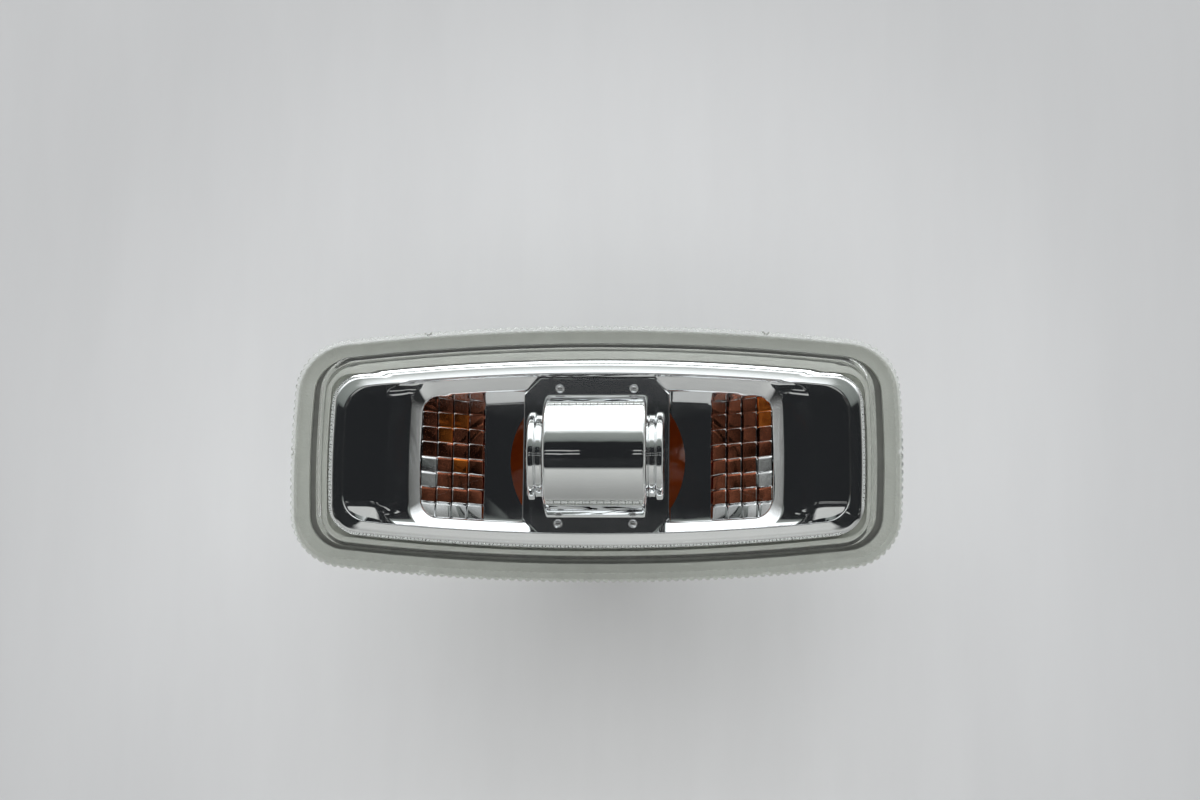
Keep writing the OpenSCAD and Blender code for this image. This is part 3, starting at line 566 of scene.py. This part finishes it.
def facet_blocks():
    """The two grids of square facets, each a pillowed mirror that leans towards the bulb."""
    verts, faces, painted_reflection_tones = [], [], []
    cells = 8
    inner = [-0.95 + 1.9 * k / (cells - 2) for k in range(1, cells - 2)]
    stations = [-1.0, -0.95] + inner + [0.95, 1.0]
    m = len(stations)
    base = FLOOR_Z - FACET_ROOT
    x_last = RECESS_X - 0.1 - FACET / 2
    for side in (-1, 1):
        for i in range(FACET_COLUMNS):
            for j in range(FACET_ROWS):
                cx = side * (x_last - i * FACET)
                cy = (j - (FACET_ROWS - 1) / 2) * FACET
                cz = FLOOR_Z + FACET / 2 + (FACET_COLUMNS - 1 - i) * FACET_RISE
                tilt = math.radians(random.uniform(*FACET_LEAN))
                n = Vector((-side * math.tan(tilt), -cy * FACET_TURN, 1)).normalized()
                # Which painted reflection of the bulb this facet's inner faces get
                tone = facet_painted_reflection(side, i, j)
                twist = random.uniform(-FACET_TWIST, FACET_TWIST)
                start = len(verts)
                for v in stations:
                    for u in stations:
                        x = cx + u * FACET / 2 * FACET_FILL
                        y = cy + v * FACET / 2 * FACET_FILL
                        z = cz - ((x - cx) * n.x + (y - cy) * n.y) / n.z
                        z += FACET_CROWN * (2 - u * u - v * v) + twist * u * v
                        if abs(u) == 1.0 or abs(v) == 1.0:
                            z -= FACET_EDGE
                        verts.append((x, y, max(z, base + 0.1)))
                for a in range(m - 1):
                    for b in range(m - 1):
                        k = start + a * m + b
                        faces.append((k, k + 1, k + m + 1, k + m))
                        painted_reflection_tones.append(tone if 0 < a < m - 2 and 0 < b < m - 2 else 0)
                rim = ([start + b for b in range(m)]
                       + [start + a * m + m - 1 for a in range(1, m)]
                       + [start + (m - 1) * m + b for b in range(m - 2, -1, -1)]
                       + [start + a * m for a in range(m - 2, 0, -1)])
                low = len(verts)
                verts += [(verts[k][0], verts[k][1], base) for k in rim]
                count = len(rim)
                for k in range(count):
                    faces.append((rim[k], low + k, low + (k + 1) % count, rim[(k + 1) % count]))
                faces.append(tuple(low + k for k in range(count))[::-1])
                painted_reflection_tones += [0] * (count + 1)
    return new_object("facets", verts, faces, 40.0), painted_reflection_tones


def foot_points(grow):
    x, y, c = FOOT_X + grow, FOOT_Y + grow, FOOT_CUT
    return [(x, y - c), (x - c, y), (c - x, y), (-x, y - c),
            (-x, c - y), (c - x, -y), (x - c, -y), (x, c - y)]


def prism(name, points, levels):
    """A closed prism whose outline is drawn in by each level's inset: (inset, z)."""
    loops = []
    for inset, z in levels:
        loops.append([(x - math.copysign(inset, x), y - math.copysign(inset, y), z)
                      for x, y in points])
    return new_object(name, *bridge(loops))


def shape_lower_side(body):
    """Curves the end lands down near the lower long side, and rolls that side a little further."""
    for v in body.data.vertices:
        x, y, z = v.co / MM
        reach = -y + x * x / (2 * LONG_BOW)
        crest = BOWL_IN_Y + 0.12
        if reach > crest and z > FLOOR_Z + 5.4:
            fade = min(1.0, max(0.0, -y - ROLL_FALL_FROM) / ROLL_FALL_FADE)
            v.co.z -= ROLL_FALL * (reach - crest) * fade * MM
        elif abs(x) < MIRROR_X - 2.3 and SLOPE_Z - 0.3 < z < LAND_Z + 0.1 and reach < crest:
            t = max(0.0, -y - LAND_FALL_FROM)
            fall = t * t / 2 if t < 1.0 else t - 0.5
            fade = min(1.0, max(0.0, abs(x) - LAND_FADE_X) / LAND_FADE)
            v.co.z -= LAND_FALL * fall * fade * fade * (3 - 2 * fade) * MM


def make_reflector():
    front = [
        (MIRROR_X, MIRROR_Y, 5.2, MIRROR_TOP + 0.3, 1.0),
        (MIRROR_X - 0.6, MIRROR_Y - 0.6, 4.9, MIRROR_TOP + 0.57, 1.0),
        (MIRROR_X - 2.2, MIRROR_Y - 2.2, 4.6, CREST_Z - 0.1, 1.0),
        (MIRROR_X - 2.6, BOWL_IN_Y + 0.08, 4.4, LAND_Z, 1.0),
        (BOWL_END_X, BOWL_IN_Y + 0.02, 5.0, LAND_Z, 1.0),
        (BOWL_IN_X, BOWL_IN_Y, 4.0, SLOPE_Z, 1.0),
        (RECESS_X, RECESS_Y, 3.0, LEDGE_Z, 1.0),
        (RECESS_X - 0.2, RECESS_FOOT_Y, 2.4, FLOOR_Z, 1.0),
    ]
    front = soften(front, {1: 0.8, 2: 0.2, 3: 0.2, 4: 0.6, 5: 0.35, 6: 0.5}, 6)
    land = [i for i, r in enumerate(front) if abs(r[3] - LAND_Z) < 1e-4]
    first, last = Vector(front[land[0]]), Vector(front[land[-1]])
    front[land[0] + 1:land[-1]] = [tuple(first.lerp(last, k / 8)) for k in range(1, 8)]
    front.append((RECESS_X - 0.5, RECESS_FOOT_Y - 0.3, 2.2, FLOOR_Z - 0.05, 1.0))
    back_z = LAND_Z - WALL
    back = [
        (RECESS_X + 0.8, RECESS_FOOT_Y + 0.96, 3.0, FLOOR_Z - WALL, 1.0),
        (RECESS_X + 0.96, RECESS_Y + 0.96, 3.6, LEDGE_Z - WALL, 1.0),
        (BOWL_IN_X + 0.96, BOWL_IN_Y + 0.8, 4.6, LEDGE_Z - WALL, 1.0),
        (BOWL_END_X + 0.96, 14.3, 5.0, back_z, 1.0),
        (MIRROR_X - 0.2, MIRROR_Y - 0.2, 5.2, back_z, 1.0),
        (MIRROR_X, MIRROR_Y, 5.2, back_z + 0.2, 1.0),
    ]
    steps = (22, 16, 30)
    body = loft("reflector_moulding", list(reversed(front)) + list(reversed(back)), steps)
    shape_lower_side(body)
    half = 60.0
    bowl = [(0, FLOOR_Z - 0.4), (BOWL_R + WALL, FLOOR_Z - 0.4)] + bowl_profile(WALL)[::-1]
    bottom = BOWL_VERTEX + BULB_HOLE_R ** 2 / BOWL_FOUR_F - WALL
    bowl = [p for p in bowl if p[0] == 0 or p[1] < FLOOR_Z - 0.3]
    bowl = lathe("bowl_back", bowl + [(BULB_HOLE_R + WALL, bottom), (0, bottom)], 96)
    reach = RECESS_FOOT_Y + 0.8
    combine(bowl, box_object("clip", (-half, -reach, -half), (half, reach, half)), "INTERSECT")
    combine(body, bowl, "UNION")
    for s in (-1, 1):
        low, high = sorted((s * (BARREL_R - SHIELD_T - 0.2), s * (FOOT_Y + 0.8)))
        ledge = box_object("ledge", (-FOOT_X, low, FLOOR_Z), (FOOT_X, high, LEDGE_Z - SHIELD_T))
        combine(body, ledge, "UNION")
    hollow = lathe("hollow", [(0, BOWL_VERTEX - 6), (BULB_HOLE_R, BOWL_VERTEX - 6)] + bowl_profile(0)
                   + [(BOWL_R, LEDGE_Z - 1), (0, LEDGE_Z - 1)], 128)
    clip = box_object("clip", (-half, -RECESS_FOOT_Y, -half), (half, RECESS_FOOT_Y, half))
    combine(hollow, clip, "INTERSECT")
    combine(body, hollow, "DIFFERENCE")
    foot = prism("foot_seat", foot_points(0.1), [(0, LEDGE_Z - SHIELD_T), (0, CREST_Z + 1)])
    combine(body, foot, "DIFFERENCE")
    finish_mesh(body, 30.0)
    facets, painted_reflection_tones = facet_blocks()
    join(body, facets)
    place(body, "bright_mirror", "reflector")
    # Painted reflection: dark and bright amber mirror colours for the facets
    body.data.materials.append(PAINTED_BULB_REFLECTION_DARK)
    body.data.materials.append(PAINTED_BULB_REFLECTION_BRIGHT)
    # The facets were joined last, so their faces are the last ones; they take the painted reflections
    # of the bulb
    for poly, tone in zip(list(body.data.polygons)[-len(painted_reflection_tones):], painted_reflection_tones):
        poly.material_index = tone


def join(target, extra):
    bm = bmesh.new()
    bm.from_mesh(target.data)
    bm.from_mesh(extra.data)
    bm.to_mesh(target.data)
    bm.free()
    drop(extra)


# ---------------------------------------------------------------- bulb shield


def make_shield():
    groove = COLLAR_R - 0.5
    half_profile = [
        (0, -COLLAR_HALF), (COLLAR_R - 0.5, -COLLAR_HALF), (COLLAR_R, -COLLAR_HALF + 0.4),
        (COLLAR_R, -COLLAR_HALF + 1.3), (groove, -COLLAR_HALF + 1.6), (groove, -BARREL_HALF - 0.3),
        (BARREL_R - 0.5, -BARREL_HALF - 0.1), (BARREL_R, -BARREL_HALF + 0.4),
    ]
    profile = half_profile + [(r, -a) for r, a in reversed(half_profile)]
    centre = (0, 0, BARREL_Z)
    shell = lathe("barrel_shield", round_profile(profile, 0.35, 7), 192, "X", centre)
    plate = prism("plate", foot_points(0), [(0, LEDGE_Z - SHIELD_T), (0, LEDGE_Z - 0.15),
                                            (0.05, LEDGE_Z - 0.05), (0.15, LEDGE_Z)])
    combine(shell, plate, "UNION")
    a, b = BARREL_HALF - SHIELD_T, COLLAR_HALF - SHIELD_T
    narrow, wide = groove - SHIELD_T, BARREL_R - SHIELD_T
    hollow = lathe("inside", [(0, -b), (narrow, -b), (narrow, -a), (wide, -a),
                              (wide, a), (narrow, a), (narrow, b), (0, b)], 128, "X", centre)
    combine(shell, hollow, "DIFFERENCE")
    below = box_object("below", (-20, -20, -20), (20, 20, LEDGE_Z - SHIELD_T))
    combine(shell, below, "DIFFERENCE")
    finish_mesh(shell, 18.0)
    place(shell, "bright_shield", "bulb_shield")


make_lens()
make_reflector()
make_shield()

# ---------------------------------------------------------------- floor, world and lamps


def painted_shade_outwards(m, start, end, least):
    """Painted shade: darkens a material's colour slowly with the distance from the lamp, a light
    fall-off painted into the colour.
    """
    t = m.node_tree
    p = t.nodes["Principled BSDF"]
    coords = t.nodes.new("ShaderNodeTexCoord")
    length = t.nodes.new("ShaderNodeVectorMath")
    length.operation = "LENGTH"
    t.links.new(coords.outputs["Object"], length.inputs[0])
    fade = t.nodes.new("ShaderNodeMapRange")
    fade.interpolation_type = "SMOOTHSTEP"
    fade.inputs["From Min"].default_value = start
    fade.inputs["From Max"].default_value = end
    fade.inputs["To Min"].default_value = 1.0
    fade.inputs["To Max"].default_value = least
    t.links.new(length.outputs["Value"], fade.inputs["Value"])
    shade = t.nodes.new("ShaderNodeVectorMath")
    shade.operation = "SCALE"
    t.links.new(p.inputs["Base Color"].links[0].from_socket, shade.inputs[0])
    t.links.new(fade.outputs["Result"], shade.inputs["Scale"])
    t.links.new(shade.outputs["Vector"], p.inputs["Base Color"])


def make_floor():
    s = FLOOR_HALF
    mesh = bpy.data.meshes.new("floor")
    mesh.from_pydata([(-s, -s, 0), (s, -s, 0), (s, s, 0), (-s, s, 0)], [], [(0, 1, 2, 3)])
    floor = bpy.data.objects.new("floor", mesh)
    floor.location.z = FLOOR_LEVEL
    scene.collection.objects.link(floor)
    card = material("pale_card", (0.86, 0.865, 0.865), 0.7, tone=0.02, scale=12,
                    stretch=(6, 1, 1), bump=0.05, bump_scale=300)
    # Painted shade: the floor's colour darkens away from the lamp
    painted_shade_outwards(card, 0.035, 0.12, 0.78)
    floor.data.materials.append(card)


def make_world():
    """The studio that the metal mirrors: dark overhead, white towards the top of the photo."""
    world = bpy.data.worlds.new("studio")
    scene.world = world
    world.use_nodes = True
    t = world.node_tree
    bg = t.nodes["Background"]
    coords = t.nodes.new("ShaderNodeTexCoord")
    split = t.nodes.new("ShaderNodeSeparateXYZ")
    t.links.new(coords.outputs["Generated"], split.inputs["Vector"])

    def maths(op, a, b=None):
        n = t.nodes.new("ShaderNodeMath")
        n.operation = op
        for socket, value in zip(n.inputs, (a, b)):
            if value is None:
                continue
            if isinstance(value, (int, float)):
                socket.default_value = value
            else:
                t.links.new(value, socket)
        return n.outputs["Value"]

    def ramp(value, stops):
        n = t.nodes.new("ShaderNodeValToRGB")
        e = n.color_ramp.elements
        while len(e) < len(stops):
            e.new(0.5)
        for slot, (place_at, colour) in zip(e, stops):
            slot.position = place_at
            slot.color = (*colour, 1)
        t.links.new(value, n.inputs["Fac"])
        return n.outputs["Color"]

    # Across the lamp: 0 is the -Y horizon, 0.5 overhead, 1 the +Y horizon
    from_zenith = maths("ARCTAN2", split.outputs["Y"], split.outputs["Z"])
    across = maths("ADD", maths("DIVIDE", from_zenith, math.pi), 0.5)
    dark, grey, green = (0.018, 0.019, 0.021), (0.62, 0.62, 0.62), (0.18, 0.195, 0.19)
    white, bright = (1.55, 1.58, 1.64), (5.0, 5.1, 5.3)
    tall = ramp(across, [
        (0.0, (0.3, 0.3, 0.3)), (0.12, (0.38, 0.38, 0.38)), (0.325, grey), (0.35, dark),
        (0.598, dark), (0.615, green), (0.69, (0.3, 0.32, 0.31)), (0.71, (0.8, 0.82, 0.83)),
        (0.73, white), (0.93, white),
        (0.95, bright), (1.0, bright),
    ])
    # Along the lamp: 0 overhead, 1 at the horizon
    low = maths("SUBTRACT", 1.0, maths("ABSOLUTE", split.outputs["Z"]))
    wide = ramp(low, [
        (0.0, dark), (0.35, (0.03, 0.03, 0.03)), (0.55, (0.25, 0.25, 0.25)), (0.8, (0.55, 0.55, 0.55)),
        (1.0, (0.7, 0.7, 0.7)),
    ])
    weight = t.nodes.new("ShaderNodeMapRange")
    weight.interpolation_type = "SMOOTHSTEP"
    weight.inputs["From Min"].default_value = 0.45
    weight.inputs["From Max"].default_value = 0.9
    t.links.new(maths("ABSOLUTE", split.outputs["X"]), weight.inputs["Value"])
    mix = t.nodes.new("ShaderNodeMix")
    mix.data_type = "RGBA"
    # Two rows of small ceiling lights in the dark part
    dash_count, dash_share = 7.0, 0.45
    rows_middle, row_offset, row_half, row_light = 0.497, 0.016, 0.005, 0.5
    steps = maths("FRACT", maths("MULTIPLY", split.outputs["X"], dash_count))
    dashes = maths("LESS_THAN", steps, dash_share)
    off_middle = maths("ABSOLUTE", maths("SUBTRACT", across, rows_middle))
    off_row = maths("ABSOLUTE", maths("SUBTRACT", off_middle, row_offset))
    rows = maths("LESS_THAN", off_row, row_half)
    lights = maths("MULTIPLY", maths("MULTIPLY", dashes, rows), row_light)
    add = t.nodes.new("ShaderNodeMix")
    add.data_type = "RGBA"
    add.blend_type = "ADD"
    add.inputs[0].default_value = 1.0
    t.links.new(tall, add.inputs[6])
    t.links.new(lights, add.inputs[7])
    tall = add.outputs[2]
    t.links.new(weight.outputs["Result"], mix.inputs[0])
    t.links.new(tall, mix.inputs[6])
    t.links.new(wide, mix.inputs[7])
    t.links.new(mix.outputs[2], bg.inputs["Color"])
    bg.inputs["Strength"].default_value = 1.0


def area_lamp(name, place_at, target, size, energy):
    data = bpy.data.lights.new(name, "AREA")
    data.shape = "RECTANGLE"
    data.size, data.size_y = size
    data.energy = energy
    lamp = bpy.data.objects.new(name, data)
    scene.collection.objects.link(lamp)
    lamp.location = place_at
    lamp.rotation_mode = "QUATERNION"
    lamp.rotation_quaternion = (Vector(place_at) - Vector(target)).to_track_quat("Z", "Y")
    lamp.visible_glossy = False
    lamp.visible_transmission = False


make_floor()
make_world()
area_lamp("soft_top", (0.1, 0.5, 1.3), (0, 0.02, 0), (1.8, 1.2), 5.0)
area_lamp("soft_front", (0.1, -0.8, 1.2), (0, -0.02, 0), (1.6, 1.4), 5.6)
area_lamp("soft_left", (-1.1, 0.2, 0.9), (0, 0, 0), (0.9, 0.9), 1.6)
